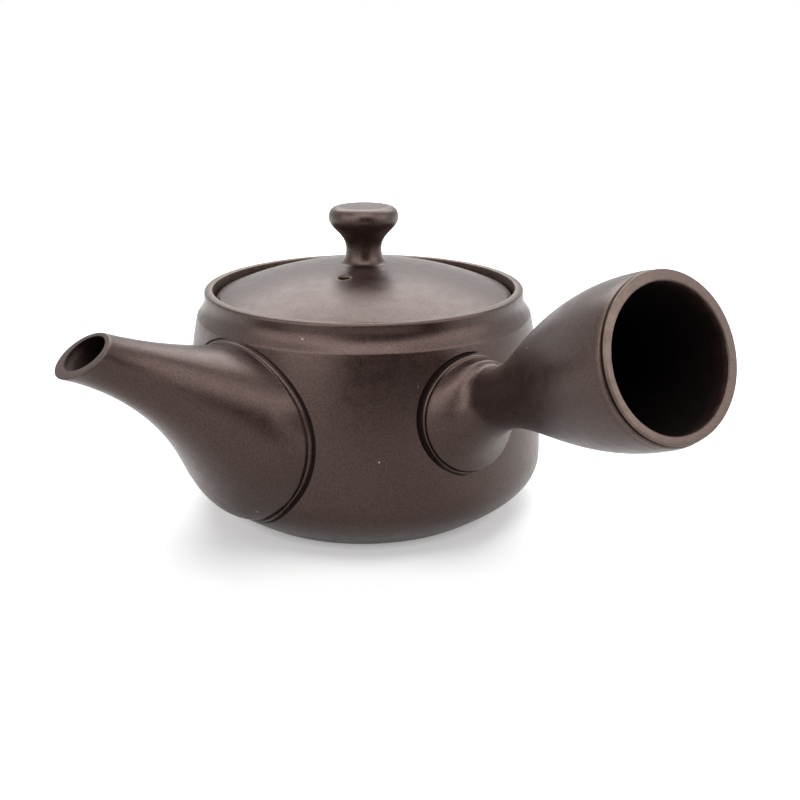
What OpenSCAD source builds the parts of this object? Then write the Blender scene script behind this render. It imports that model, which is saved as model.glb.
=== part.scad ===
// Kyusu teapot with a side handle: a thrown clay pot with a luted spout and handle, a pierced strainer
// behind the spout, and a loose lid with its knob.
// Millimetres, +Z up. The origin is the centre of the foot on the resting plane and the spout points to -X.

/* [Body] */
// Radius of the belly at its widest
belly_r = 52; // [48:0.5:60]
// Height of the widest ring of the belly
belly_z = 22.9; // [19:0.1:27]
// How far the foot's edge stands in from the belly
foot_in = 14; // [11:0.5:17]
// Rise of the wall where it leaves the foot, in degrees
foot_rise = 31; // [26:0.5:38]
// How long the wall keeps the rise that it has at the foot
foot_pull = 19.3; // [15:0.1:21]
// How long the wall stays upright below the widest ring
belly_pull = 10.7; // [8:0.1:14]
// How far the shoulder stands in from the belly
shoulder_in = 3.6; // [2:0.1:5]
// How far the collar stands in from the shoulder
collar_in = 2.4; // [1.5:0.1:4]
// Height of the lip above the foot
body_h = 64.8; // [61:0.1:72]
// Height of the collar and its step, from the shoulder to the lip
collar_h = 7.6; // [7:0.1:11]
// Height of the S-shaped step under the collar
step_h = 5.4; // [4:0.1:6]
// How far the wall's slope runs on past the edge of the shoulder
step_edge = 0.7; // [0.3:0.1:1.5]
// How far the collar's upright side is drawn down into the step
step_pull = 3; // [2:0.1:3.6]
// Thickness of the wall
wall_t = 3; // [2.4:0.1:4]
// Thickness of the floor
floor_t = 4.2; // [3:0.1:6]
// Thickness of the lip
lip_t = 2.4; // [2:0.1:3]
// Radius of the rounding on the outside of the lip
lip_round = 1.6; // [0.8:0.1:1.8]
// Bevel of the inner edge of the lip
lip_edge = 0.3; // [0.1:0.1:0.5]

/* [Lid seat] */
// Depth of the ledge below the lip
seat_depth = 4.3; // [3:0.1:5]
// Width of the ledge that the lid rests on
seat_w = 4.6; // [3.5:0.1:6]
// Thickness of the ledge at its inner edge
seat_t = 2.2; // [1.6:0.1:3]

/* [Lid] */
// Gap between the lid's edge and the lip
lid_gap = 0.8; // [0.5:0.1:1.4]
// Thickness of the lid's edge
lid_edge_t = 2; // [1.4:0.1:2.6]
// Rise of the dome from the lid's edge to its top
dome_h = 9.1; // [6:0.1:12]
// Thickness of the dome
lid_t = 3; // [2.2:0.1:4]
// Gap between the skirt under the lid and the ledge
skirt_gap = 0.5; // [0.3:0.1:1]
// Depth of the skirt below the ledge
skirt_h = 7; // [4:0.5:10]
// Thickness of the skirt
skirt_t = 2.4; // [1.8:0.1:3.2]
// Radius of the vent
vent_r = 1.65; // [0.8:0.05:2]
// Distance of the vent from the middle of the lid
vent_out = 16.7; // [12:0.1:24]
// Turn of the vent from the spout, in degrees
vent_turn = 26; // [-90:1:90]
// Width of the bevel round the vent
vent_bevel = 0.35; // [0.2:0.05:0.8]

/* [Knob] */
// Radius of the knob at its widest
knob_r = 10; // [8:0.05:12]
// Height of the knob above the lid
knob_h = 16.6; // [14:0.1:20]
// Radius of the knob's base
knob_base_r = 6.4; // [5.8:0.1:8]
// Radius of the knob's neck
knob_neck_r = 5.1; // [4:0.1:5.6]
// Height of the neck above the lid
knob_neck_z = 4.2; // [3:0.1:5.5]
// Height of the rounded part of the knob's head above its widest ring
knob_crown_h = 3; // [2:0.1:3.6]
// Rise of the knob's flat top towards its middle
knob_top_rise = 0.4; // [0.1:0.1:0.8]
// Radius of the knob's flat top
knob_top_r = 7.6; // [6:0.1:7.8]
// How long the knob keeps the width of its neck above the neck
knob_neck_pull = 4.4; // [3:0.1:6]
// How long the knob's side stays upright below its widest ring
knob_side_pull = 3.3; // [2:0.1:4.5]
// How long the knob's side stays upright above its widest ring
knob_crown_pull = 1.9; // [1.2:0.1:2.6]
// How far the knob's flat top runs on into its rounded edge
knob_top_pull = 1.2; // [0.6:0.1:1.6]

/* [Spout] */
// Height of the top of the spout's base
spout_top_z = 56.2; // [53:0.1:58]
// Height of the bottom of the spout's base
spout_bottom_z = 7.4; // [5:0.1:10]
// Half the width of the spout's base
spout_base_w = 24.9; // [22:0.1:28]
// Reach of the middle of the mouth beyond the belly
spout_reach = 42; // [36:0.1:50]
// Height of the middle of the mouth
spout_mouth_z = 62.8; // [58:0.1:68]
// Half the length of the mouth, along its slope
spout_mouth_a = 7.9; // [6:0.1:9]
// Half the width of the mouth
spout_mouth_b = 7.1; // [5.5:0.1:8.5]
// Fall of the mouth outwards, in degrees
spout_mouth_fall = 33.2; // [24:0.1:40]
// Rise of the spout at its tip, in degrees
spout_tip_rise = 23; // [16:0.5:30]
// How long the upper line keeps the rise of the tip
spout_upper_pull = 20.9; // [16:0.1:26]
// How long the lower line keeps the rise of the tip
spout_lower_pull = 42.5; // [34:0.5:46]
// How long the lower line runs out from the wall before it rises
spout_belly_pull = 9.7; // [6:0.1:14]
// Dip of the lower line where it leaves the wall, in degrees
spout_belly_dip = 20; // [10:0.5:30]
// Thickness of the spout at its mouth
spout_tip_t = 2.2; // [1.6:0.1:3]
// Thickness of the spout at its base
spout_base_t = 4; // [3:0.1:5]
// Bevel of the edges of the spout's mouth
spout_edge = 0.55; // [0.3:0.05:0.7]

/* [Handle] */
// Turn from the spout round to the handle, in degrees
handle_turn = 80; // [72:0.5:110]
// Height of the middle of the handle's base
handle_base_z = 38.9; // [37:0.1:42]
// Radius of the handle's base
handle_base_r = 15.1; // [13:0.1:17]
// Rise of the handle where it leaves the wall, in degrees
handle_base_rise = 32; // [24:0.1:36]
// Turn of the handle from straight out back towards the spout, in degrees
handle_lean = 3.3; // [0:0.1:6]
// Reach of the middle of the handle's mouth beyond the belly
handle_reach = 67.8; // [60:0.1:84]
// Height of the middle of the handle's mouth
handle_mouth_z = 71.1; // [66:0.1:78]
// Rise of the handle at its mouth, in degrees
handle_mouth_rise = 20.7; // [14:0.1:28]
// Outer radius of the handle's mouth
handle_mouth_r = 19.1; // [16:0.1:21]
// Radius of the handle's neck
handle_neck_r = 7.4; // [6.4:0.1:9]
// Length of the handle from the wall to its neck
handle_neck_len = 13; // [10:0.1:16]
// How far the flange round the handle's base stands off the wall before it curves into the neck
handle_root_rise = 4.8; // [2:0.1:6]
// How long the neck keeps its width before the flare
handle_neck_pull = 15; // [12:0.1:22]
// How long the flare is drawn in towards the mouth
handle_mouth_pull = 27.8; // [22:0.1:34]
// How strongly the flare is drawn in at the mouth, in degrees
handle_mouth_draw = 6.8; // [0:0.1:10]
// Thickness of the handle at its mouth
handle_mouth_t = 2.6; // [2:0.1:3.4]
// Thickness of the handle at its neck
handle_neck_t = 3; // [2.4:0.1:3.6]
// Radius of the hollow where the handle meets the wall
handle_bore_r = 8; // [6:0.1:10]
// Bevel of the edges of the handle's mouth
handle_edge = 0.5; // [0.3:0.05:0.8]

/* [Joints to the wall] */
// Clay slip between the wall and what is luted to it
slip_t = 0.3; // [0.2:0.01:0.4]
// Height of the ridge round the base of the spout and handle
ridge_h = 0.9; // [0.6:0.1:1.4]
// Width of the ridge
ridge_w = 0.48; // [0.4:0.02:0.9]
// Width of the groove inside the ridge
groove_w = 0.72; // [0.5:0.02:1]
// Depth of the groove between the ridge and the spout or handle
groove_depth = 0.5; // [0.2:0.1:0.5]
// Bevel of the edges of the ridge and the groove
ridge_edge = 0.18; // [0.1:0.02:0.2]

/* [Strainer] */
// Radius of the hole through the wall behind the spout
strainer_hole_r = 15; // [12:0.5:17]
// How far the strainer's rim covers the wall round the hole
strainer_rim_w = 4; // [2.5:0.5:5]
// Thickness of the strainer
strainer_t = 2; // [1.6:0.1:2.6]
// Radius of the strainer's dome
strainer_dome_r = 20; // [18.5:0.5:26]
// Number of rings of holes round the middle hole
strainer_rings = 4; // [2:1:5]
// Number of holes in the first of these rings
strainer_first = 6; // [4:1:7]
// Distance between the rings of holes
strainer_pitch = 2.8; // [2:0.05:2.9]
// Radius of the strainer's holes
strainer_pore_r = 0.7; // [0.4:0.05:0.9]

/* [Smoothness] */
// Sides of a turned piece
round_sides = 96; // [48:8:144]
// Sides of the spout and handle
tube_sides = 48; // [24:4:64]
// Steps along each curve of a profile
curve_steps = 10; // [6:1:16]

/* [Hidden] */

clay = [0.27, 0.22, 0.21];
clay_lit = [0.31, 0.26, 0.24];
clay_dark = [0.22, 0.18, 0.17];

// Overlap of cutting shapes past what they cut
past = 1;

// Points along a cubic curve with end points a and d, pulled towards b and c
function curve(a, b, c, d, steps = curve_steps) =
    [for (i = [0:steps]) curve_at(a, b, c, d, i / steps)];
function curve_at(a, b, c, d, t) =
    pow(1 - t, 3) * a + 3 * pow(1 - t, 2) * t * b + 3 * (1 - t) * t * t * c + pow(t, 3) * d;
// A list without its first point, to join it to the list before
function tail(list) = [for (i = [1:len(list) - 1]) list[i]];
function reversed(list) = [for (i = [len(list) - 1:-1:0]) list[i]];
function ease(t) = t * t * (3 - 2 * t);
function slope(angle) = [cos(angle), sin(angle)];
function mix(a, b, t) = a + (b - a) * t;
// The list without what lies above the height top
function below(list, top) = [for (p = list) if (p[1] < top) p];

// Outer profile of the body, from the foot to the top of the step, as points of radius and height
foot_r = belly_r - foot_in;
shoulder_r = belly_r - shoulder_in;
shoulder_z = body_h - collar_h;
collar_r = shoulder_r - collar_in;
step_top_z = shoulder_z + step_h;
lip_in_r = collar_r - lip_t;
// Slope of the wall at the shoulder, in degrees from upright
shoulder_lean = atan2(2 * shoulder_in, shoulder_z - belly_z);
// Rounding of the lip, kept inside the collar and the thickness of the lip
round_share = 0.9;
lip_round_r = min(lip_round, round_share * (collar_h - step_h), round_share * (lip_t - lip_edge));
// Steps along the upper and inner curves of the body, which are even and need fewer
even_share = 0.6;
wall_steps = ceil(even_share * curve_steps);
lower_curve = curve([foot_r, 0], [foot_r, 0] + foot_pull * slope(foot_rise),
    [belly_r, belly_z - belly_pull], [belly_r, belly_z]);
belly_curve = [for (i = [0:wall_steps]) let (t = i / wall_steps)
    [belly_r - shoulder_in * t * t, mix(belly_z, shoulder_z, t)]];
shoulder = [shoulder_r, shoulder_z];
step_curve = curve(shoulder, shoulder + step_edge * slope(90 + shoulder_lean),
    [collar_r, step_top_z - step_pull], [collar_r, step_top_z], wall_steps);
lip_round_mid = [collar_r - lip_round_r, body_h - lip_round_r];
lip_curve = concat([for (i = [0:wall_steps]) lip_round_mid + lip_round_r * slope(90 * i / wall_steps)],
    [[lip_in_r + lip_edge, body_h], [lip_in_r, body_h - lip_edge]]);
outer_curve = concat(lower_curve, tail(belly_curve), tail(step_curve));

// Radius of the outside of the wall at a height
wall_table = [for (p = outer_curve) [p[1], p[0]]];
function wall_r(z) = lookup(z, wall_table);

// Inner profile of the body, from the middle of the floor up to the inner edge of the ledge
seat_z = body_h - seat_depth;
seat_r = lip_in_r - seat_w;
seat_under_z = seat_z - seat_t;
inner_low_curve = curve([foot_r - wall_t - floor_t / 2, floor_t], [foot_r + floor_t, floor_t],
    [belly_r - wall_t, belly_z - belly_pull], [belly_r - wall_t, belly_z], wall_steps);
ledge_foot_z = seat_under_z - (shoulder_r - wall_t - seat_r);
inner_belly_curve = [for (p = below(belly_curve, ledge_foot_z)) [p[0] - wall_t, p[1]]];
inner_curve = concat([[0, floor_t]], inner_low_curve, tail(inner_belly_curve),
    [[wall_r(ledge_foot_z) - wall_t, ledge_foot_z], [seat_r, seat_under_z]]);
inner_table = [for (p = inner_curve) [p[1], p[0]]];
function inner_r(z) = lookup(z, inner_table);

// Sizes of the spout that follow from those of the body
spout_axis_z = (spout_top_z + spout_bottom_z) / 2;
spout_mouth = [belly_r + spout_reach, spout_mouth_z];
mouth_line = spout_mouth_a * slope(-spout_mouth_fall);
tip_line = slope(spout_tip_rise);
spout_top = [wall_r(spout_top_z), spout_top_z];
spout_bottom = [wall_r(spout_bottom_z), spout_bottom_z];
upper_end = spout_mouth - mouth_line;
lower_end = spout_mouth + mouth_line;
function upper_line(s) = curve_at(spout_top, spout_top,
    upper_end - spout_upper_pull * tip_line, upper_end, s);
function lower_line(s) = curve_at(spout_bottom, spout_bottom + spout_belly_pull * slope(-spout_belly_dip),
    lower_end - spout_lower_pull * tip_line, lower_end, s);
spout_base_a = norm(spout_top - spout_bottom) / 2;
// Part of the spout's length over which its sections bend to the round wall
spout_bend = 0.3;

// Sizes of the handle that follow from those of the body
handle_base = [wall_r(handle_base_z), handle_base_z];
handle_mouth = [belly_r + handle_reach, handle_mouth_z];
handle_third = norm(handle_mouth - handle_base) / 3;
function handle_mid(s) = curve_at(handle_base, handle_base + handle_third * slope(handle_base_rise),
    handle_mouth - handle_third * slope(handle_mouth_rise), handle_mouth, s);
// Length over which the handle's sections turn from the wall's slope to the handle's own, and over which
// they bend to the round wall, as shares of the length to the neck
swing_share = 1.25;
cling_share = 0.6;
handle_swing = swing_share * handle_neck_len;
handle_cling = cling_share * handle_neck_len;
handle_len = norm(handle_mouth - handle_base);
// How strongly the fillet between the handle's base and its neck is drawn in, at the wall and at the neck
handle_root_fall = 0.58;
handle_fillet = 0.42;
// Rise of the handle's middle line at s, measured between points just before and after it
near = 0.01;
function handle_rise(s) = let (d = handle_mid(min(1, s + near)) - handle_mid(max(0, s - near)))
    atan2(d[1], d[0]);

// A point at a distance out from the axis towards -X, to the side and up, moved on to the wall by the share
// bend, and lifted off the wall by lift
function on_wall(out, side, z, bend, lift = slip_t) =
    let (wall = sqrt(max(1, pow(wall_r(z) + lift, 2) - side * side)))
    [-mix(out, wall, bend), side, z];

// A ring of the spout at s along it, grown by grow all round
function spout_ring(s, grow, lift = slip_t) =
    let (top = upper_line(s), bottom = lower_line(s), mid = (top + bottom) / 2, half = (top - bottom) / 2)
    let (a = norm(half), share = mix(spout_base_w / spout_base_a, spout_mouth_b / spout_mouth_a, s))
    let (bend = pow(max(0, 1 - s / spout_bend), 2), dir = half / a)
    [for (i = [0:tube_sides - 1]) let (t = 360 * i / tube_sides, high = dir * (a + grow) * sin(t))
        on_wall(mid[0] + high[0], (a * share + grow) * cos(t), mid[1] + high[1], bend, lift)];

// A ring of the handle at a length along it, of radius r
function handle_ring(length, r, lift = slip_t) =
    let (s = length / handle_len, mid = handle_mid(s), turned = ease(min(1, length / handle_swing)))
    let (dir = slope(90 + handle_rise(s) * turned), bend = pow(max(0, 1 - length / handle_cling), 2))
    [for (i = [0:tube_sides - 1]) let (t = 360 * i / tube_sides, high = dir * r * sin(t), side = r * cos(t))
        let (out = mid[0] + high[0] - handle_base[0])
        let (leaned = out * cos(handle_lean) - side * sin(handle_lean) * turned)
        on_wall(handle_base[0] + leaned, side * cos(handle_lean) + out * sin(handle_lean), mid[1] + high[1],
            bend, lift + length)];

// The ridge and groove round a base: growth beyond the base and lift off the wall, from outside to inside
rim_w = groove_w + ridge_w;
base_steps = [
    [rim_w, slip_t],
    [rim_w, ridge_h - ridge_edge],
    [rim_w - ridge_edge, ridge_h],
    [groove_w, ridge_h],
    [groove_w - ridge_edge, ridge_h - groove_depth],
    [ridge_edge, ridge_h - groove_depth],
    [0, ridge_h]
];

// A closed tube through rings of equal size, the last ring joined to the first
module ring_tube(rings) {
    sides = len(rings[0]);
    count = len(rings);
    points = [for (ring = rings) each ring];
    faces = [for (i = [0:count - 1], j = [0:sides - 1])
        let (k = (i + 1) % count, m = (j + 1) % sides)
        let (a = i * sides + j, b = i * sides + m, c = k * sides + m, d = k * sides + j)
        each [[a, c, b], [a, d, c]]];
    polyhedron(points = points, faces = faces, convexity = 6);
}

// Thrown pot, with the hole behind the spout
module body() {
    profile = concat([[0, 0]], outer_curve, lip_curve, [[lip_in_r, seat_z], [seat_r, seat_z]],
        reversed(inner_curve));
    color(clay)
    difference() {
        rotate_extrude($fn = round_sides)
            polygon(profile);
        spout_axis(strainer_hole_r, belly_r + past);
    }
}

// A rod along the line through the spout's base, from the axis of the pot outwards
module spout_axis(r, length) {
    translate([0, 0, spout_axis_z])
        rotate([0, -90, 0])
            cylinder(r = r, h = length, $fn = round_sides);
}

// Spout with a ridge and groove round its base and a slanted mouth
module spout() {
    steps = [for (i = [1:curve_steps]) i / curve_steps];
    outside = [for (s = steps) spout_ring(s, s < 1 ? 0 : -spout_edge)];
    inside = [for (s = reversed(steps)) let (edge = s < 1 ? 0 : spout_edge)
        spout_ring(s, edge - mix(spout_base_t, spout_tip_t, s))];
    base_in = [spout_ring(0, -spout_base_t), spout_ring(0, (rim_w - spout_base_t) / 2)];
    base_out = [for (b = base_steps) spout_ring(0, b[0], b[1])];
    color(clay_lit)
    ring_tube(concat(base_out, outside, inside, base_in));
}

// Hollow handle with a narrow neck and a wide mouth
module handle() {
    fillet = curve([0, handle_base_r],
        [handle_root_rise, mix(handle_neck_r, handle_base_r, handle_root_fall)],
        [handle_neck_len * handle_fillet, handle_neck_r], [handle_neck_len, handle_neck_r]);
    flare = curve([handle_neck_len, handle_neck_r], [handle_neck_len + handle_neck_pull, handle_neck_r],
        [handle_len, handle_mouth_r] + handle_mouth_pull * slope(180 - handle_mouth_draw),
        [handle_len, handle_mouth_r]);
    line = concat(tail(fillet), tail(flare));
    base_out = [for (b = base_steps) handle_ring(0, handle_base_r + b[0], b[1])];
    outside = [for (p = line) handle_ring(p[0], p[1])];
    mouth = [
        handle_ring(handle_len, handle_mouth_r - handle_edge),
        handle_ring(handle_len, handle_mouth_r - handle_mouth_t + handle_edge)
    ];
    inside = [for (p = reversed(tail(flare))) handle_ring(p[0], p[1] - mix(handle_neck_t, handle_mouth_t,
        (p[0] - handle_neck_len) / (handle_len - handle_neck_len)))];
    base_in = [handle_ring(handle_neck_len, handle_neck_r - handle_neck_t), handle_ring(0, handle_bore_r),
        handle_ring(0, (handle_base_r + handle_bore_r) / 2)];
    color(clay_lit)
    rotate([0, 0, handle_turn])
        ring_tube(concat(base_out, outside, mouth, inside, base_in));
}

// Pierced dome over the hole behind the spout, with a rim that follows the inside of the wall
module strainer() {
    rim_r = strainer_hole_r + strainer_rim_w;
    dome_out = sqrt(pow(strainer_dome_r, 2) - pow(strainer_hole_r, 2));
    dome_x = -sqrt(pow(inner_r(spout_axis_z), 2) - pow(strainer_hole_r / 2, 2)) - dome_out;
    low = spout_axis_z - rim_r - past;
    high = spout_axis_z + rim_r + past;
    back = [for (i = [0:curve_steps]) let (z = mix(low, high, i / curve_steps)) [inner_r(z) - slip_t, z]];
    front = [for (p = reversed(back)) [p[0] - strainer_t, p[1]]];
    color(clay_dark)
    difference() {
        union() {
            difference() {
                intersection() {
                    rotate_extrude($fn = round_sides)
                        polygon(concat(back, front));
                    spout_axis(rim_r, belly_r);
                }
                spout_axis(strainer_hole_r - strainer_t / 2, belly_r + past);
            }
            intersection() {
                rotate_extrude($fn = round_sides)
                    polygon(concat([[0, low]], back, [[0, high]]));
                difference() {
                    translate([dome_x, 0, spout_axis_z])
                        sphere(r = strainer_dome_r, $fn = round_sides);
                    translate([dome_x, 0, spout_axis_z])
                        sphere(r = strainer_dome_r - strainer_t, $fn = round_sides);
                }
            }
        }
        for (ring = [0:strainer_rings], i = [1:max(1, strainer_first * ring)])
            let (a = 360 * i / max(1, strainer_first * ring))
            translate([0, ring * strainer_pitch * cos(a), ring * strainer_pitch * sin(a)])
                spout_axis(strainer_pore_r, belly_r);
    }
}

// Sizes of the lid that follow from those of its seat
lid_r = lip_in_r - lid_gap;
lid_edge_z = seat_z + lid_edge_t;
dome_r = (lid_r * lid_r + dome_h * dome_h) / (2 * dome_h);
dome_mid_z = lid_edge_z + dome_h - dome_r;
// Height of the outside of the lid at a distance from its middle, and of its inside
function dome_z(r) = dome_mid_z + sqrt(dome_r * dome_r - r * r);
function dome_in_z(r) = dome_mid_z + sqrt(pow(dome_r - lid_t, 2) - r * r);
landing_z = dome_z(knob_base_r);

// Shallow domed lid with a vent and a skirt
module lid() {
    skirt_r = seat_r - skirt_gap;
    skirt_in_r = skirt_r - skirt_t;
    round_r = lid_edge_t / 2;
    rim = [for (i = [0:curve_steps]) let (a = 90 * (1 - i / curve_steps))
        [lid_r - round_r + round_r * cos(a), seat_z + round_r + (lid_edge_t - round_r) * sin(a)]];
    top_steps = 2 * curve_steps;
    top = [for (i = [0:top_steps]) let (r = mix(knob_base_r, lid_r - round_r, i / top_steps))
        [r, dome_z(r)]];
    under = [for (i = [0:curve_steps]) let (r = mix(skirt_in_r, 0, i / curve_steps)) [r, dome_in_z(r)]];
    edge_foot = [[lid_r, seat_z + round_r / 2], [lid_r - round_r / 2, seat_z]];
    profile = concat([[0, landing_z]], top, tail(rim), edge_foot, [[skirt_r, seat_z],
        [skirt_r, seat_z - skirt_h], [skirt_in_r, seat_z - skirt_h]], under);
    vent_z = dome_z(vent_out);
    cone_h = 4 * vent_bevel;
    color(clay)
    difference() {
        rotate_extrude($fn = round_sides)
            polygon(profile);
        rotate([0, 0, vent_turn])
            translate([-vent_out, 0, 0]) {
                translate([0, 0, vent_z - 2 * lid_t])
                    cylinder(r = vent_r, h = 4 * lid_t, $fn = round_sides);
                translate([0, 0, vent_z - vent_bevel])
                    cylinder(r1 = vent_r, r2 = vent_r + cone_h, h = cone_h, $fn = round_sides);
            }
    }
}

// Turned knob with a waisted neck and a low crown
module knob() {
    wide_z = knob_h - knob_top_rise - knob_crown_h;
    top_z = knob_h - knob_top_rise;
    third = knob_neck_z / 3;
    foot = curve([knob_base_r, 0], [knob_neck_r, third],
        [knob_neck_r, 2 * third], [knob_neck_r, knob_neck_z]);
    flare = curve([knob_neck_r, knob_neck_z], [knob_neck_r, knob_neck_z + knob_neck_pull],
        [knob_r, wide_z - knob_side_pull], [knob_r, wide_z]);
    crown = curve([knob_r, wide_z], [knob_r, wide_z + knob_crown_pull],
        [knob_top_r + knob_top_pull, top_z - knob_top_rise / 2], [knob_top_r, top_z]);
    top = [for (i = [0:curve_steps]) let (t = i / curve_steps)
        [knob_top_r * (1 - t), top_z + knob_top_rise * t * (2 - t)]];
    color(clay_lit)
    translate([0, 0, landing_z])
        rotate_extrude($fn = round_sides)
            polygon(concat([[0, 0]], foot, tail(flare), tail(crown), tail(top)));
}

body();
spout();
handle();
strainer();
lid();
knob();
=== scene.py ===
"""Looks of a side-handled clay teapot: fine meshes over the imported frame, clay, floor, light and camera."""
import math

import bmesh
import bpy
import numpy as np
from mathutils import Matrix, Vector


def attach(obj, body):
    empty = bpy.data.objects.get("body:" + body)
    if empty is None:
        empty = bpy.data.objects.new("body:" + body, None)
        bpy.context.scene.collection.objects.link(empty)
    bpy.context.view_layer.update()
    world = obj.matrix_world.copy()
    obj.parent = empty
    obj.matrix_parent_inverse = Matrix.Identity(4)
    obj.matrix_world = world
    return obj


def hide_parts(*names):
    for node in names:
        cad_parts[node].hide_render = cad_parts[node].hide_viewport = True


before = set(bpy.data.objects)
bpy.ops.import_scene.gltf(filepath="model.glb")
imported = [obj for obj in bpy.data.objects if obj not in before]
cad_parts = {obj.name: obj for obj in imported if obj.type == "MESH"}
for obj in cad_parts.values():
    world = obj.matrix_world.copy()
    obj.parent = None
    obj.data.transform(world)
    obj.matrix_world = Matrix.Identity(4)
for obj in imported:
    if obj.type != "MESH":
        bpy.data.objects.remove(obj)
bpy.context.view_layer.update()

# Sizes are in millimetres, as in the part's source, and become metres when a mesh is made.
# Angles are in degrees.
MM = 0.001

# Body
BELLY_R = 52.0
BELLY_Z = 22.9
BELLY_PULL = 10.7
FOOT_IN = 14.0
FOOT_R = BELLY_R - FOOT_IN
FOOT_RISE = 31.0
FOOT_PULL = 19.3
BODY_H = 64.8
COLLAR_H = 7.6
COLLAR_IN = 2.4
SHOULDER_IN = 3.6
SHOULDER_R = BELLY_R - SHOULDER_IN
SHOULDER_Z = BODY_H - COLLAR_H
COLLAR_R = SHOULDER_R - COLLAR_IN
STEP_H = 5.4
STEP_EDGE = 1.0
STEP_PULL = 3.0
WALL_T = 3.0
FLOOR_T = 4.2
LIP_T = 2.4
LIP_ROUND = 0.9
LIP_EDGE = 0.3
LIP_WEAR_W = 0.8
LIP_IN_R = COLLAR_R - LIP_T

# Ledge that the lid sits on
SEAT_DROP = 4.3
SEAT_Z = BODY_H - SEAT_DROP
SEAT_W = 4.6
SEAT_R = LIP_IN_R - SEAT_W
SEAT_T = 2.2
SEAT_UNDER_Z = SEAT_Z - SEAT_T
SEAT_ROUND = 0.5

# Lid
LID_GAP = 0.8
LID_R = LIP_IN_R - LID_GAP
LID_T = 3.0
LID_EDGE_T = 2.0
LID_EDGE_FROM = 80.0
LID_WEAR = 0.45
LID_WEAR_W = 1.2
LID_UNDER_DROP = 0.1
# Painted shade under the lid, below the seat
LID_UNDER_DARK = 0.5
DOME_H = 9.1
SKIRT_GAP = 0.5
SKIRT_R = SEAT_R - SKIRT_GAP
SKIRT_H = 7.0
SKIRT_T = 2.4
SKIRT_ROUND = 0.6
VENT_R = 1.65
VENT_OUT = 16.7
VENT_TURN = 26.0
VENT_BEVEL = 0.35
VENT_WEAR_W = 0.4
# Painted shade down the vent's wall
VENT_DARK = 0.5
VENT_DARK_W = 0.05

# Knob; the pulls are shares of a curve's height
KNOB_R = 10.0
KNOB_H = 16.6
KNOB_BASE_R = 6.4
KNOB_TOE_R = 7.4
KNOB_TOE_SUNK = 0.15
KNOB_TOE_W = 0.5
KNOB_TOE_H = 0.1
KNOB_NECK_R = 5.1
KNOB_NECK_Z = 4.2
KNOB_NECK_PULL = 0.5
KNOB_FLARE_PULL = 0.75
KNOB_CROWN_H = 3.0
KNOB_CROWN_PULL = 0.62
KNOB_CROWN_IN = 0.55
KNOB_TOP_RISE = 0.4
KNOB_TOP_R = 7.6
KNOB_WEAR = 0.6
KNOB_WEAR_W = 1.0

# Spout; the ends of its lift, wear and the painted shade down its bore are shares of its length
SPOUT_TOP_Z = 56.2
SPOUT_BOTTOM_Z = 7.4
SPOUT_AXIS_Z = (SPOUT_TOP_Z + SPOUT_BOTTOM_Z) / 2
SPOUT_BASE_W = 24.9
SPOUT_REACH = 42.0
SPOUT_MOUTH_Z = 62.8
SPOUT_MOUTH = np.array([BELLY_R + SPOUT_REACH, SPOUT_MOUTH_Z])
SPOUT_MOUTH_A = 7.9
SPOUT_MOUTH_B = 7.1
SPOUT_MOUTH_FALL = 33.2
SPOUT_TIP_RISE = 23.0
SPOUT_UPPER_PULL = 20.9
SPOUT_LOWER_PULL = 42.5
SPOUT_BELLY_PULL = 9.7
SPOUT_BELLY_DIP = 20.0
SPOUT_TIP_T = 2.2
SPOUT_BASE_T = 4.0
SPOUT_BEND = 0.3
SPOUT_LIFT_END = 0.1
SPOUT_RIM_H = 0.45
SPOUT_RIM_WEAR = 0.06
SPOUT_WEAR_END = 0.05
# Painted shade on the rim's inner edge beyond this share across it
SPOUT_RIM_DARK = 0.92
SPOUT_BORE_UP = 0.9
SPOUT_DARK_END = 0.12
STRAINER_HOLE_R = 15.0
STRAINER_HOLE_OVER = 5.0

# Handle; turns are measured round its rings, from the spout's side over the top
HANDLE_TURN = 80.0
HANDLE_BASE_Z = 38.9
HANDLE_BASE_R = 15.1
HANDLE_BASE_RISE = 32.0
HANDLE_LEAN = 3.3
HANDLE_REACH = 67.8
HANDLE_MOUTH_Z = 71.1
HANDLE_MOUTH = np.array([BELLY_R + HANDLE_REACH, HANDLE_MOUTH_Z])
HANDLE_MOUTH_RISE = 20.7
HANDLE_MOUTH_R = 19.1
HANDLE_MOUTH_PULL = 27.8
HANDLE_MOUTH_DRAW = 6.8
HANDLE_MOUTH_T = 2.6
HANDLE_NECK_R = 7.4
HANDLE_NECK_LEN = 13.0
HANDLE_NECK_PULL = 15.0
HANDLE_NECK_T = 3.0
HANDLE_BORE_R = 8.0
# Painted shade deepens over this length into the bore from the mouth
HANDLE_DARK_END = 6.0
HANDLE_FILLET = 0.42
HANDLE_CLING = 0.6
HANDLE_SWING = 1.25
HANDLE_LIFT_END = 4.0
HANDLE_ROOT_RISE = 4.8
HANDLE_ROOT_FALL = 0.58
HANDLE_ROOT_FULL = 2.4
HANDLE_ROOT_TURN = 105.0
HANDLE_ROOT_FADE = 1.5
HANDLE_ROOT_PEAK = 5.5
HANDLE_ROOT_END = 22.0

# Lip of the handle's mouth, with a line round it that is deepest on one side and holds painted shade;
# the lip is worn all round, has painted light on its side towards the spout, and takes the place of the
# bore's first rings
HANDLE_BEAD = 0.45
HANDLE_BEAD_WEAR = 0.25
HANDLE_LIP_H = 1.1
HANDLE_LIP_IN = 0.55
HANDLE_LIP_LINE = 0.6
HANDLE_LIP_DEPTH = 0.2
HANDLE_LIP_DARK = 0.45
HANDLE_LIP_ROUND = 0.4
HANDLE_LIP_MEAN = 0.4
HANDLE_LIP_SWING = 0.8
HANDLE_LIP_TURN = -35.0
HANDLE_LIP_WEAR = 0.3
# Painted light: the next two make the lip paler on its side towards the spout, as if lit
HANDLE_LIP_LIT_SIDE = 0.6
HANDLE_LIP_LIT_TURN = 10.0
HANDLE_LIP_RINGS = 2

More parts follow.
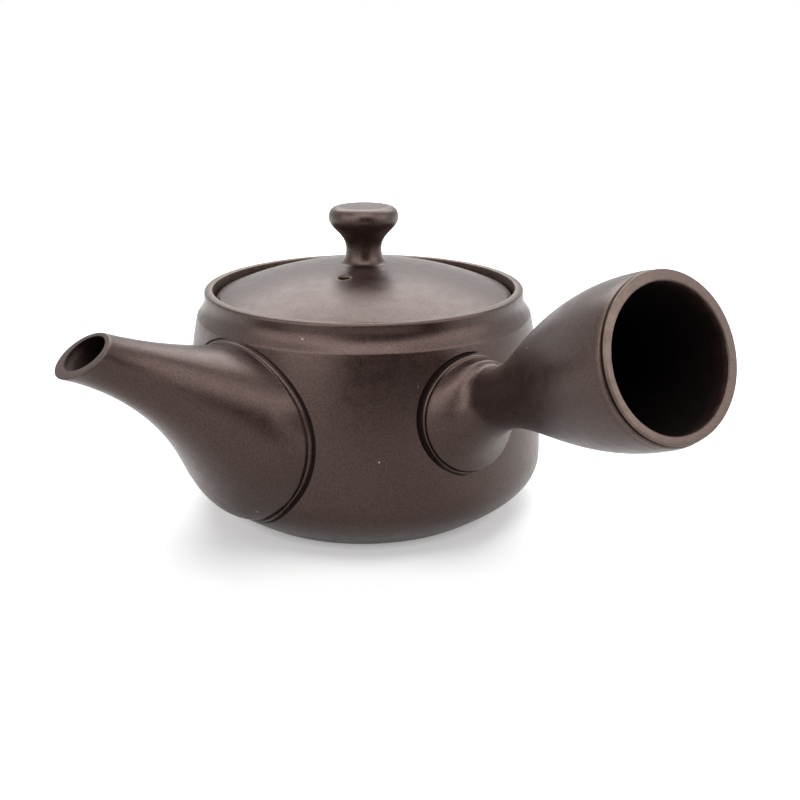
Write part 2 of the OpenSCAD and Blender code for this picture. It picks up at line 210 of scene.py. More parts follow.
# Ridges where the spout and handle are luted to the wall;
# the two curves are shares of a ridge's width and height
SUNK = -0.4
RIDGE_H = 0.8
RIDGE_W = 0.8
RIDGE_CREST = ((1.0, 0.0), (1.0, 1.2), (0.5, 1.2), (0.45, 0.35))
RIDGE_INNER = ((0.45, 0.35), (0.3, 0.1), (0.15, 0.3), (0.0, 1.0))
# The ridges' inner lines get painted shade where they lie low
RIDGE_VALLEY = 0.5
RIDGE_VALLEY_SOFT = 0.2
SPOUT_VALLEY_SPREAD = 1.3
HANDLE_VALLEY_SPREAD = 1.5
HANDLE_VALLEY_TURN = -10.0

# Lines incised in the wall round the ridges; their widths are shares of INCISED_R
INCISED_OUT = 0.5
INCISED_R = 0.62
INCISED_LIFT = 0.1
# Painted shade in the lines begins this deep under the wall's face and fades in over INCISED_SOFT, above
# INCISED_LOWEST
INCISED_FROM = 0.02
INCISED_SOFT = 0.13
INCISED_LOWEST = 1.0
SPOUT_LINE_THIN = 0.3
SPOUT_LINE_FADE = 1.2
HANDLE_LINE_WIDE = 1.6
HANDLE_LINE_TURN = 25.0
HANDLE_LINE_FADE = 0.9
HANDLE_LINE_THIN = 0.4
HANDLE_LINE_LEAST = 0.1
HANDLE_LINE_FROM = -95.0
HANDLE_LINE_GROW = 30.0
HANDLE_LINE_TO = 110.0
HANDLE_LINE_SHRINK = 25.0

# Fineness of the meshes, with small values that keep sums and joins sound
LATHE_SIDES = 288
TUBE_SIDES = 192
KNOB_SIDES = 128
HOLE_SIDES = 96
VENT_SIDES = 48
INCISED_SIDES = 12
CURVE_STEPS = 40
FLARE_STEPS = 72
SPOUT_STEPS = 64
BORE_STEPS = 48
KNOB_STEPS = 32
LID_TOP_POINTS = 90
LID_UNDER_POINTS = 40
ROUND_STEPS = 16
ARC_STEPS = 8
EDGE_STEPS = 6
LID_EDGE_STEPS = 9
MID_STEP = 0.01
LEAST_SQUARE = 1.0
SHARP_EDGE = 40.0
WELD_GAP = 1e-7

# Camera, fitted to the photograph of 800 by 800 pixels
CAMERA_AT = Vector((-238.6, -242.4, 140.7)) * MM
CAMERA_LOOK = Vector((0.6872, 0.6567, -0.3108))
CAMERA_LENS = 53.74
CAMERA_SENSOR = 36.0
CAMERA_NEAR = 0.01
CAMERA_FAR = 20.0

# Colours of the clay
CLAY_DARK = (0.0165, 0.0082, 0.0077, 1)
CLAY_WARM = (0.0235, 0.0125, 0.0115, 1)
# Worn colour, also used as painted light on one side of the handle's lip
CLAY_WORN_AND_LIT = (0.27, 0.205, 0.16, 1)
# Colour of painted shade in grooves, bores, the vent and under the lid
CLAY_PAINTED_SHADE = (0.006, 0.0045, 0.0045, 1)
CLAY_SPECK = (0.42, 0.36, 0.30, 1)
CLAY_SHEEN = (1.0, 0.71, 0.62, 1)

# Clay's patterns, and what they do to its colour, gloss and relief;
# scales are in cells to a metre, and that of the turning marks in cells to a millimetre
NOISE_LOW = 0.3
NOISE_HIGH = 0.7
CLOUD_SCALE = 22.0
CLOUD_LOW = 0.35
CLOUD_HIGH = 0.65
MOTTLE_SCALE = 320.0
MOTTLE_SHADE = (0.86, 1.14)
MOTTLE_WEAR = (0.35, 0.95)
MOTTLE_BUMP = 0.12
GRAIN_SCALE = 2600.0
GRAIN_SHADE = (0.7, 1.3)
GRAIN_GLOSS = (0.75, 1.25)
GRAIN_BUMP = 0.9
GRAIN_DETAIL = 3.0
FINE_DETAIL = 4.0
SPECK_SCALE = 620.0
SPECK_RARE = 0.9965
SPECK_CORE = 0.12
SPECK_EDGE = 0.2
MARKS_SCALE = 0.9
MARKS_BUMP = 0.2
BUMP_STRENGTH = 0.35
BUMP_DEPTH = 0.00012
CLAY_IOR = 1.6
CLAY_ROUGH = 0.34
STRAINER_ROUGH = 0.6
ROUGH_SWING = 0.05
# Where painted shade lies, the clay is also made rougher and less glossy
ROUGH_IN_PAINTED_SHADE = 0.3
GLOSS_OUTSIDE = 0.5
GLOSS_IN_PAINTED_SHADE = 0.1

# Floor and surroundings, in metres
FLOOR_WHITE = (0.9, 0.9, 0.9, 1)
FLOOR_HALF = 6.0
FLOOR_DROP = 0.00005
FLOOR_GLOW = 0.44
FLOOR_GLOW_FROM = 0.03
FLOOR_GLOW_TO = 0.042
FLOOR_MIRRORED = 0.75
FLOOR_FAR_GLOW = 0.6
FLOOR_FAR_FROM = 0.45
FLOOR_FAR_TO = 1.0
FLOOR_WHITE_FROM = 0.3
FLOOR_WHITE_TO = 0.5
WORLD_LIGHT = 0.42
WHITE = (1, 1, 1, 1)

# Dark screen behind the camera, in metres
SCREEN_DARK = (0.02, 0.02, 0.02, 1)
SCREEN_NEAR = 0.5
SCREEN_FAR = 1.1
SCREEN_FOOT = 0.01
SCREEN_TOP = 0.8
SCREEN_LEFT = 0.32
SCREEN_RIGHT = 0.9

# Area lights: name, place, width, height and power, and whether it lights more than the clay's sheen
LIGHT_AIM = Vector((0, 0, 0.03))
LIGHTS = (
    ("back_light", (0.58, 0.44, 0.93), 1.5, 0.8, 12.8, True),
    ("top_light", (-0.15, -0.15, 1.1), 0.8, 0.8, 5.0, True),
    ("front_light", (-0.58, -0.55, 1.0), 1.3, 0.5, 5.5, False),
    ("left_light", (-1.0, 0.02, 0.51), 1.2, 0.8, 7.0, False),
    ("right_light", (0.33, -0.99, 0.54), 1.1, 0.9, 6.8, False),
)


def shares(steps=CURVE_STEPS):
    """Even shares from 0 to 1."""
    return np.linspace(0.0, 1.0, steps + 1)


def bezier(a, b, c, d, t):
    """Points of a cubic curve from a to d, pulled towards b and c, at the shares t."""
    t = np.asarray(t, float)[..., None]
    a, b, c, d = (np.asarray(p, float) for p in (a, b, c, d))
    return (1 - t) ** 3 * a + 3 * (1 - t) ** 2 * t * b + 3 * (1 - t) * t * t * c + t ** 3 * d


def slope(degrees):
    """Unit vector, or one for each angle, at an angle above the level line."""
    angle = np.radians(degrees)
    return np.stack([np.cos(angle), np.sin(angle)], axis=-1)


def ease(t):
    """Smooth step from 0 to 1."""
    t = np.clip(t, 0.0, 1.0)
    return t * t * (3 - 2 * t)


def near(distance, reach):
    """1 on a spot, falling smoothly to 0 at a distance of reach."""
    return 1 - ease(np.abs(distance) / reach)


def mix(a, b, t):
    """Value between a and b at the share t."""
    return a + (b - a) * t


def arc(mid, radius, start, end, steps=ARC_STEPS):
    """Points of an arc in a profile, from one angle to another."""
    return np.asarray(mid, float) + radius * slope(np.linspace(start, end, steps + 1))


def squared_arc(half, high, steps=ROUND_STEPS):
    """Half of a rounded bar with a flat top, from one side to the other, as across and height."""
    points = slope(np.linspace(0, 180, steps + 1))
    return np.sign(points) * np.sqrt(np.abs(points)) * [half, high]


def around(sides=TUBE_SIDES):
    """Angles round a ring, in radians."""
    return np.arange(sides) * (2 * math.pi / sides)


def towards(turn):
    """How far each point round a ring lies towards a turn, from 1 down to -1."""
    return np.cos(around() - math.radians(turn))


def facing(turn):
    """The same, with 0 for the half that lies away from the turn."""
    return np.clip(towards(turn), 0.0, 1.0)


def belly_curve(inset=0.0):
    """Upper part of the belly, or of the wall's inside, as radius and height."""
    t = shares()
    return np.stack([BELLY_R - SHOULDER_IN * t * t - inset, mix(BELLY_Z, SHOULDER_Z, t)], axis=1)


def outer_profile():
    """Outside of the body's wall from the foot to the top of the step, as radius and height."""
    t = shares()
    foot = np.array([FOOT_R, 0.0])
    lower = bezier(foot, foot + FOOT_PULL * slope(FOOT_RISE), (BELLY_R, BELLY_Z - BELLY_PULL),
                   (BELLY_R, BELLY_Z), t)
    shoulder = np.array([SHOULDER_R, SHOULDER_Z])
    lean = math.degrees(math.atan2(2 * SHOULDER_IN, SHOULDER_Z - BELLY_Z))
    step_top = SHOULDER_Z + STEP_H
    step = bezier(shoulder, shoulder + STEP_EDGE * slope(90 + lean), (COLLAR_R, step_top - STEP_PULL),
                  (COLLAR_R, step_top), t)
    return np.concatenate([lower, belly_curve()[1:], step[1:]])


OUTER = outer_profile()


def wall_r(z):
    """Radius of the outside of the wall at a height."""
    return np.interp(z, OUTER[:, 1], OUTER[:, 0])


def on_wall(out, side, z, bend, lift):
    """Points out towards -X, to the side and up, moved on to the wall by the share bend."""
    wall = np.sqrt(np.maximum(LEAST_SQUARE, (wall_r(z) + lift) ** 2 - side ** 2))
    return np.stack([-mix(out, wall, bend), side, z], axis=-1)


def spout_ring(s, grow, lift):
    """Ring of the spout at the share s of its length, grown by grow all round."""
    t = around()
    line = SPOUT_MOUTH_A * slope(-SPOUT_MOUTH_FALL)
    tip = slope(SPOUT_TIP_RISE)
    top_start = np.array([wall_r(SPOUT_TOP_Z), SPOUT_TOP_Z])
    low_start = np.array([wall_r(SPOUT_BOTTOM_Z), SPOUT_BOTTOM_Z])
    upper_end, lower_end = SPOUT_MOUTH - line, SPOUT_MOUTH + line
    top = bezier(top_start, top_start, upper_end - SPOUT_UPPER_PULL * tip, upper_end, s)
    low = bezier(low_start, low_start + SPOUT_BELLY_PULL * slope(-SPOUT_BELLY_DIP),
                 lower_end - SPOUT_LOWER_PULL * tip, lower_end, s)
    middle, half = (top + low) / 2, (top - low) / 2
    high = np.linalg.norm(half)
    base_high = np.linalg.norm(top_start - low_start) / 2
    width = high * mix(SPOUT_BASE_W / base_high, SPOUT_MOUTH_B / SPOUT_MOUTH_A, s)
    bend = max(0.0, 1 - s / SPOUT_BEND) ** 2
    up = np.outer(np.sin(t), half / high * (high + grow))
    return on_wall(middle[0] + up[:, 0], (width + grow) * np.cos(t), middle[1] + up[:, 1], bend, lift)


HANDLE_BASE = np.array([wall_r(HANDLE_BASE_Z), HANDLE_BASE_Z])
HANDLE_LEN = float(np.linalg.norm(HANDLE_MOUTH - HANDLE_BASE))


def handle_mid(s):
    """Middle line of the handle, seen from its side."""
    third = HANDLE_LEN / 3
    return bezier(HANDLE_BASE, HANDLE_BASE + third * slope(HANDLE_BASE_RISE),
                  HANDLE_MOUTH - third * slope(HANDLE_MOUTH_RISE), HANDLE_MOUTH, s)


def handle_ring(length, radius, lift):
    """Ring of the handle at a length along it; the radius may change round the ring."""
    t = around()
    s = length / HANDLE_LEN
    ahead = handle_mid(min(1.0, s + MID_STEP)) - handle_mid(max(0.0, s - MID_STEP))
    turned = ease(length / (HANDLE_SWING * HANDLE_NECK_LEN))
    up = slope(90 + math.degrees(math.atan2(ahead[1], ahead[0])) * turned)
    bend = max(0.0, 1 - length / (HANDLE_CLING * HANDLE_NECK_LEN)) ** 2
    middle = handle_mid(s)
    lean = math.radians(HANDLE_LEAN)
    rise = radius * np.sin(t)
    out = middle[0] + up[0] * rise - HANDLE_BASE[0]
    side = radius * np.cos(t)
    leaned = out * math.cos(lean) - side * math.sin(lean) * turned
    ring = on_wall(HANDLE_BASE[0] + leaned, side * math.cos(lean) + out * math.sin(lean),
                   middle[1] + up[1] * rise, bend, lift + length)
    turn = math.radians(HANDLE_TURN)
    x = ring[:, 0] * math.cos(turn) - ring[:, 1] * math.sin(turn)
    y = ring[:, 0] * math.sin(turn) + ring[:, 1] * math.cos(turn)
    return np.stack([x, y, ring[:, 2]], axis=1)


def new_piece(name, points, faces):
    """Object with a mesh, from points in millimetres."""
    mesh = bpy.data.meshes.new(name)
    mesh.from_pydata((np.asarray(points) * MM).tolist(), [], faces)
    mesh.validate()
    piece = bpy.data.objects.new(name, mesh)
    bpy.context.collection.objects.link(piece)
    return piece


def lathe(name, profile, sides=LATHE_SIDES):
    """Piece turned about Z from a profile that starts and ends on the axis."""
    profile = np.asarray(profile, float)
    body = profile[1:-1]
    angles = around(sides)
    radius = body[:, 0][:, None]
    rows = np.stack([radius * np.cos(angles), radius * np.sin(angles),
                     np.repeat(body[:, 1][:, None], sides, axis=1)], axis=2)
    ends = [[0.0, 0.0, profile[0, 1]], [0.0, 0.0, profile[-1, 1]]]
    points = np.concatenate([rows.reshape(-1, 3), ends])
    count = len(body)
    first, last = count * sides, count * sides + 1
    faces = []
    for j in range(sides):
        k = (j + 1) % sides
        faces.append((first, k, j))
        for i in range(count - 1):
            faces.append((i * sides + j, i * sides + k, (i + 1) * sides + k, (i + 1) * sides + j))
        faces.append(((count - 1) * sides + j, (count - 1) * sides + k, last))
    return new_piece(name, points, faces)


def tube(name, rings):
    """Piece through closed rings of equal size, the last ring joined to the first."""
    count, sides = len(rings), len(rings[0])
    faces = []
    for i in range(count):
        n = (i + 1) % count
        for j in range(sides):
            k = (j + 1) % sides
            faces.append((i * sides + j, n * sides + j, n * sides + k, i * sides + k))
    return new_piece(name, np.concatenate(rings), faces)


def weld(piece):
    """Joins points that fall on the same spot."""
    mesh = bmesh.new()
    mesh.from_mesh(piece.data)
    bmesh.ops.remove_doubles(mesh, verts=mesh.verts, dist=WELD_GAP)
    bmesh.ops.recalc_face_normals(mesh, faces=mesh.faces)
    mesh.to_mesh(piece.data)
    mesh.free()
    return piece


def cut(piece, cutters):
    """Cuts shapes out of a piece and deletes them."""
    for cutter in cutters:
        tool = piece.modifiers.new("cut", "BOOLEAN")
        tool.operation, tool.solver, tool.object = "DIFFERENCE", "EXACT", cutter
    depsgraph = bpy.context.evaluated_depsgraph_get()
    mesh = bpy.data.meshes.new_from_object(piece.evaluated_get(depsgraph))
    piece.modifiers.clear()
    piece.data = mesh
    for cutter in cutters:
        bpy.data.objects.remove(cutter)


def paint(piece, name, values):
    """Stores one number for each point of a piece, for its material to read."""
    layer = piece.data.attributes.new(name, "FLOAT", "POINT")
    layer.data.foreach_set("value", np.asarray(values, np.float32))


def points_of(piece):
    """Points of a piece in millimetres."""
    points = np.empty(len(piece.data.vertices) * 3, np.float32)
    piece.data.vertices.foreach_get("co", points)
    return points.reshape(-1, 3) / MM


class Rings:
    """Rings of a tube, with each one's wear and painted light, its painted shade, and how far along the tube
    it lies.
    """

    def __init__(self):
        self.rings = []
        self.marks = {"wear_and_light": [], "inside": [], "turn": []}

    def add(self, ring, along, worn=0.0, dark=0.0):
        """One more ring; its wear, with any painted light, and its painted shade are each one number, or one
        for each point of the ring.
        """
        self.rings.append(ring)
        for name, value in (("wear_and_light", worn), ("inside", dark), ("turn", along)):
            self.marks[name].append(np.broadcast_to(value, len(ring)))

    def build(self, name):
        """Piece through the rings, painted with what was said about each."""
        piece = tube(name, self.rings)
        for mark, values in self.marks.items():
            paint(piece, mark, np.concatenate(values))
        return piece


def body_inside():
    """Inside of the body's wall from under the ledge down to its floor, as radius and height."""
    ledge_foot = SEAT_UNDER_Z - (SHOULDER_R - WALL_T - SEAT_R)
    belly = belly_curve(WALL_T)
    belly = belly[belly[:, 1] < ledge_foot]
    low = bezier((FOOT_R - WALL_T - FLOOR_T / 2, FLOOR_T), (FOOT_R + FLOOR_T, FLOOR_T),
                 (BELLY_R - WALL_T, BELLY_Z - BELLY_PULL), (BELLY_R - WALL_T, BELLY_Z), shares())
    return np.concatenate([low, belly[1:], [[wall_r(ledge_foot) - WALL_T, ledge_foot]]])[::-1]


def body_profile():
    """Section of the body, from the middle of its underside round to the middle of its floor."""
    return np.concatenate([
        [[0, 0]],
        OUTER,
        arc((COLLAR_R - LIP_ROUND, BODY_H - LIP_ROUND), LIP_ROUND, 0, 90, ROUND_STEPS),
        arc((LIP_IN_R + LIP_EDGE, BODY_H - LIP_EDGE), LIP_EDGE, 90, 180, EDGE_STEPS),
        arc((LIP_IN_R - SEAT_ROUND, SEAT_Z + SEAT_ROUND), SEAT_ROUND, 0, -90),
        arc((SEAT_R + SEAT_ROUND, SEAT_Z - SEAT_ROUND), SEAT_ROUND, 90, 180),
        [[SEAT_R, SEAT_UNDER_Z]],
        body_inside(),
        [[0, FLOOR_T]],
    ])


def make_body():
    """Thrown pot with its ledge, the hole behind the spout and lines round what is luted on."""
    body = lathe("pot_body", body_profile())
    cut(body, [strainer_hole(), spout_line(), handle_line()])
    points = points_of(body)
    radius = np.hypot(points[:, 0], points[:, 1])
    height = points[:, 2]
    paint(body, "wear_and_light", near(np.hypot(radius - LIP_IN_R - LIP_EDGE, height - BODY_H), LIP_WEAR_W))
    sunk = wall_r(height) - radius
    # Painted shade in the incised lines, on points just under the wall's outer face
    outside = (sunk < WALL_T / 2) * (height < SHOULDER_Z) * (height > INCISED_LOWEST)
    paint(body, "inside", ease((sunk - INCISED_FROM) / INCISED_SOFT) * outside)
    paint(body, "turn", height)
    return body


def strainer_hole():
    """Cutter for the hole through the wall behind the spout."""
    t = around(HOLE_SIDES)
    y, z = STRAINER_HOLE_R * np.cos(t), SPOUT_AXIS_Z + STRAINER_HOLE_R * np.sin(t)
    near_x, far_x = -BELLY_R - STRAINER_HOLE_OVER, -BELLY_R / 2
    ends = [np.stack([np.full(HOLE_SIDES, x), y, z], axis=1) for x in (near_x, far_x)]
    caps = [np.repeat([[x, 0, SPOUT_AXIS_Z]], HOLE_SIDES, axis=0) for x in (far_x, near_x)]
    return weld(tube("hole", ends + caps))


def incised_ring(name, ring, outward, size):
    """Round cutter along a ring on the wall, with a radius that changes along it."""
    across = outward / np.linalg.norm(outward, axis=1)[:, None]
    normal = np.stack([ring[:, 0], ring[:, 1], np.zeros(len(ring))], axis=1)
    normal /= np.linalg.norm(normal, axis=1)[:, None]
    loops = [ring + size[:, None] * (math.cos(a) * across + math.sin(a) * normal)
             for a in around(INCISED_SIDES)]
    return weld(tube(name, loops))


def spout_line():
    """Cutter for the line that is incised in the wall round the spout, deepest at the sides."""
    ring = spout_ring(0.0, RIDGE_W + INCISED_OUT, INCISED_LIFT)
    outward = ring - spout_ring(0.0, 0.0, INCISED_LIFT)
    side = np.abs(np.cos(around())) ** SPOUT_LINE_FADE
    return incised_ring("spout_line", ring, outward, INCISED_R * mix(SPOUT_LINE_THIN, 1.0, side))


def handle_line():
    """Cutter for the line that is incised in the wall round the handle, deepest on the spout's side."""
    ring = handle_ring(0.0, HANDLE_BASE_R + RIDGE_W + INCISED_OUT, INCISED_LIFT)
    outward = ring - handle_ring(0.0, HANDLE_BASE_R, INCISED_LIFT)
    t = (np.degrees(around()) + 180.0) % 360.0 - 180.0
    wide = HANDLE_LINE_WIDE * facing(HANDLE_LINE_TURN) ** HANDLE_LINE_FADE
    thin = HANDLE_LINE_THIN * ease((t - HANDLE_LINE_FROM) / HANDLE_LINE_GROW)
    end = ease((HANDLE_LINE_TO - t) / HANDLE_LINE_SHRINK)
    size = INCISED_R * (HANDLE_LINE_LEAST + np.maximum(wide, thin) * end)
    return incised_ring("handle_line", ring, outward, size)


def base_steps():
    """Ridge and inner line round a base: growth beyond the base and lift off the wall, from outside in."""
    size = [RIDGE_W, RIDGE_H]
    ridge = bezier(*np.multiply(RIDGE_CREST, size), shares(ARC_STEPS))
    inner = bezier(*np.multiply(RIDGE_INNER, size), shares(EDGE_STEPS))
    return np.concatenate([[[RIDGE_W, SUNK]], ridge, inner[1:]])


def add_base(rings, ring_at, share):
    """Rings of the ridge round a base; the share says how deep its inner line is, and how much painted shade
    it has, at each point.
    """
    for grow, lift in base_steps():
        plain = RIDGE_H * (1 - (grow / RIDGE_W) ** 2)
        # Painted shade in the inner line, where the ridge falls to its valley
        valley = np.clip((RIDGE_VALLEY - lift / RIDGE_H) / RIDGE_VALLEY_SOFT, 0.0, 1.0)
        valley = valley * (grow < RIDGE_W / 2)
        rings.add(ring_at(grow, mix(plain, lift, share) if lift > 0 else lift), -grow, dark=share * valley)


def out_and_up(point):
    """Vector out towards -X and up, from a vector in the side view."""
    return np.array([-point[0], 0.0, point[1]])


def make_spout():
    """Spout with a ridge and a line round its base, and a rounded slanted mouth."""
    rings = Rings()
    length = float(np.linalg.norm(SPOUT_MOUTH - [BELLY_R, SPOUT_AXIS_Z]))
    # Share of depth and painted shade in the ridge's inner line, most at the sides
    share = np.clip(SPOUT_VALLEY_SPREAD * np.abs(np.cos(around())), 0.0, 1.0)
    add_base(rings, lambda grow, lift: spout_ring(0.0, grow, lift), share)
    for s in shares(SPOUT_STEPS)[1:-1]:
        lift = RIDGE_H * (1 - ease(s / SPOUT_LIFT_END))
        rings.add(spout_ring(s, 0.0, lift), s * length, worn=SPOUT_RIM_WEAR * near(1 - s, SPOUT_WEAR_END))
    half = SPOUT_TIP_T / 2
    tip = out_and_up(slope(SPOUT_TIP_RISE))
    bore_up = SPOUT_BORE_UP * out_and_up(slope(180 - SPOUT_MOUTH_FALL))
    for across, high in squared_arc(half, SPOUT_RIM_H):
        inward = (half - across) / SPOUT_TIP_T
        ring = spout_ring(1.0, across - half, 0.0) + tip * (high - SPOUT_RIM_H) + bore_up * inward
        # Painted shade on the rim's innermost edge
        rings.add(ring, length, worn=SPOUT_RIM_WEAR, dark=float(inward > SPOUT_RIM_DARK))
    # Painted shade that deepens down the bore
    for s in shares(BORE_STEPS)[::-1][1:]:
        bore = spout_ring(s, -mix(SPOUT_BASE_T, SPOUT_TIP_T, s), 0.0) + bore_up * s ** 2
        rings.add(bore, s * length, dark=ease((1 - s) / SPOUT_DARK_END))
    # Painted shade in full where the bore meets the wall
    rings.add(spout_ring(0.0, -SPOUT_BASE_T, SUNK), 0.0, dark=1.0)
    return rings.build("pot_spout")


def handle_fillet():
    """Outside of the handle from the wall to its neck, as length and radius."""
    root = (HANDLE_ROOT_RISE, mix(HANDLE_NECK_R, HANDLE_BASE_R, HANDLE_ROOT_FALL))
    return bezier((0, HANDLE_BASE_R), root, (HANDLE_NECK_LEN * HANDLE_FILLET, HANDLE_NECK_R),
                  (HANDLE_NECK_LEN, HANDLE_NECK_R), shares())


def handle_flare():
    """Outside of the handle from its neck to its mouth, as length and radius."""
    mouth = np.array([HANDLE_LEN, HANDLE_MOUTH_R])
    return bezier((HANDLE_NECK_LEN, HANDLE_NECK_R), (HANDLE_NECK_LEN + HANDLE_NECK_PULL, HANDLE_NECK_R),
                  mouth + HANDLE_MOUTH_PULL * slope(180 - HANDLE_MOUTH_DRAW), mouth, shares(FLARE_STEPS))


def add_handle_outside(rings, flare):
    """Rings from the handle's ridge to the bead before its lip, with a fuller root on the upper side."""
    # Share of depth and painted shade in the ridge's inner line, most on the side towards the spout
    share = np.clip(HANDLE_VALLEY_SPREAD * towards(HANDLE_VALLEY_TURN), 0.0, 1.0)
    add_base(rings, lambda grow, lift: handle_ring(0.0, HANDLE_BASE_R + grow, lift), share)
    outside = flare[flare[:, 0] < HANDLE_LEN - HANDLE_LIP_H - HANDLE_BEAD]
    upper = facing(HANDLE_ROOT_TURN) ** HANDLE_ROOT_FADE
    for along, radius in np.concatenate([handle_fillet()[1:], outside[1:]]):
        lift = RIDGE_H * (1 - ease(along / HANDLE_LIFT_END))
        full = ease(along / HANDLE_ROOT_PEAK) * near(max(0.0, along - HANDLE_ROOT_PEAK), HANDLE_ROOT_END)
        rings.add(handle_ring(along, radius + HANDLE_ROOT_FULL * full * upper, lift), along)


def add_handle_lip(rings):
    """Rings of the bead, the line and the flat lip at the handle's mouth."""
    step = HANDLE_LEN - HANDLE_LIP_H
    line = np.clip(HANDLE_LIP_MEAN + HANDLE_LIP_SWING * towards(HANDLE_LIP_TURN), 0.0, 1.0)
    for along, drop in arc((step - HANDLE_BEAD, -HANDLE_BEAD), HANDLE_BEAD, 90, 0, EDGE_STEPS):
        rings.add(handle_ring(along, HANDLE_MOUTH_R + drop * line, 0.0), along, worn=HANDLE_BEAD_WEAR)
    lip_r = HANDLE_MOUTH_R - HANDLE_LIP_IN * line
    for along in (step, step + HANDLE_LIP_LINE):
        ring = handle_ring(along, lip_r - HANDLE_LIP_DEPTH * line, 0.0)
        # Painted shade in the line, most on the side towards the spout
        rings.add(ring, along, dark=HANDLE_LIP_DARK * line)
    # Wear all round the lip, and painted light on its side towards the spout
    worn = HANDLE_LIP_WEAR + HANDLE_LIP_LIT_SIDE * facing(HANDLE_LIP_LIT_TURN)
    flat = HANDLE_LEN - HANDLE_LIP_ROUND
    for along, drop in arc((flat, -HANDLE_LIP_ROUND), HANDLE_LIP_ROUND, 90, 0, EDGE_STEPS):
        rings.add(handle_ring(along, lip_r + drop, 0.0), along, worn=worn)
    bore_r = HANDLE_MOUTH_R - HANDLE_MOUTH_T + HANDLE_LIP_ROUND
    for along, radius in arc((flat, bore_r), HANDLE_LIP_ROUND, 0, -90, EDGE_STEPS):
        rings.add(handle_ring(along, radius, 0.0), along, worn=worn)


def make_handle():
    """Hollow handle with a flange on the wall, a narrow neck and a wide mouth with a flat lip."""
    rings = Rings()
    flare = handle_flare()
    add_handle_outside(rings, flare)
    add_handle_lip(rings)
    # Painted shade that deepens into the bore, full where it meets the wall
    for along, radius in flare[::-1][HANDLE_LIP_RINGS:]:
        share = (along - HANDLE_NECK_LEN) / (HANDLE_LEN - HANDLE_NECK_LEN)
        bore = handle_ring(along, radius - mix(HANDLE_NECK_T, HANDLE_MOUTH_T, share), 0.0)
        rings.add(bore, along, dark=ease((HANDLE_LEN - along) / HANDLE_DARK_END))
    rings.add(handle_ring(0.0, HANDLE_BORE_R, SUNK), 0.0, dark=1.0)
    return rings.build("pot_handle")


def dome_z(radius, sunk=0.0):
    """Height of the lid's outside at a distance from its middle, or of its inside, sunk below it."""
    edge_z = SEAT_Z + LID_EDGE_T
    dome_r = (LID_R ** 2 + DOME_H ** 2) / (2 * DOME_H)
    return edge_z + DOME_H - dome_r + np.sqrt((dome_r - sunk) ** 2 - np.asarray(radius, float) ** 2)


def lid_profile():
    """Section of the lid, from the top of its dome round to the middle of its underside."""
    rim = LID_EDGE_T / 2
    top = np.linspace(0.0, LID_R - rim, LID_TOP_POINTS)
    under = np.linspace(SKIRT_R - SKIRT_T, 0.0, LID_UNDER_POINTS)
    skirt_z = SEAT_Z - SKIRT_H + SKIRT_ROUND
    return np.concatenate([
        np.stack([top, dome_z(top)], axis=1),
        arc((LID_R - rim, SEAT_Z + rim), rim, LID_EDGE_FROM, 0, LID_EDGE_STEPS),
        [[LID_R, SEAT_Z + rim / 2], [LID_R - rim / 2, SEAT_Z], [SKIRT_R, SEAT_Z]],
        arc((SKIRT_R - SKIRT_ROUND, skirt_z), SKIRT_ROUND, 0, -90),
        arc((SKIRT_R - SKIRT_T + SKIRT_ROUND, skirt_z), SKIRT_ROUND, -90, -180),
        np.stack([under, dome_z(under, LID_T)], axis=1),
    ])


def vent_at():
    """Place of the vent, seen from above."""
    return -VENT_OUT * slope(VENT_TURN)


def vent_cutter():
    """Cutter for the vent, wider at the top."""
    z = float(dome_z(VENT_OUT))
    profile = np.concatenate([
        [[0, z - 2 * LID_T], [VENT_R, z - 2 * LID_T]],
        arc((VENT_R + VENT_BEVEL, z - VENT_BEVEL), VENT_BEVEL, 180, 90),
        [[VENT_R + 2 * VENT_BEVEL, z + LID_T], [0, z + LID_T]],
    ])
    vent = lathe("vent", profile, VENT_SIDES)
    vent.location = Vector((*vent_at(), 0)) * MM
    bpy.context.view_layer.update()
    return vent


def make_lid():
    """Shallow domed lid with a skirt and a bevelled vent."""
    lid = lathe("lid_dome", lid_profile()[::-1])
    cut(lid, [vent_cutter()])
    points = points_of(lid)
    radius = np.hypot(points[:, 0], points[:, 1])
    vent = np.linalg.norm(points[:, :2] - vent_at(), axis=1)
    rim_wear = LID_WEAR * near(radius - LID_R, LID_WEAR_W)
    paint(lid, "wear_and_light", np.maximum(rim_wear, near(vent - VENT_R - VENT_BEVEL, VENT_WEAR_W)))
    # Painted shade under the lid and down the vent's wall
    under = points[:, 2] < SEAT_Z - LID_UNDER_DROP
    paint(lid, "inside", LID_UNDER_DARK * under + VENT_DARK * (vent < VENT_R + VENT_DARK_W))
    paint(lid, "turn", radius)
    return lid


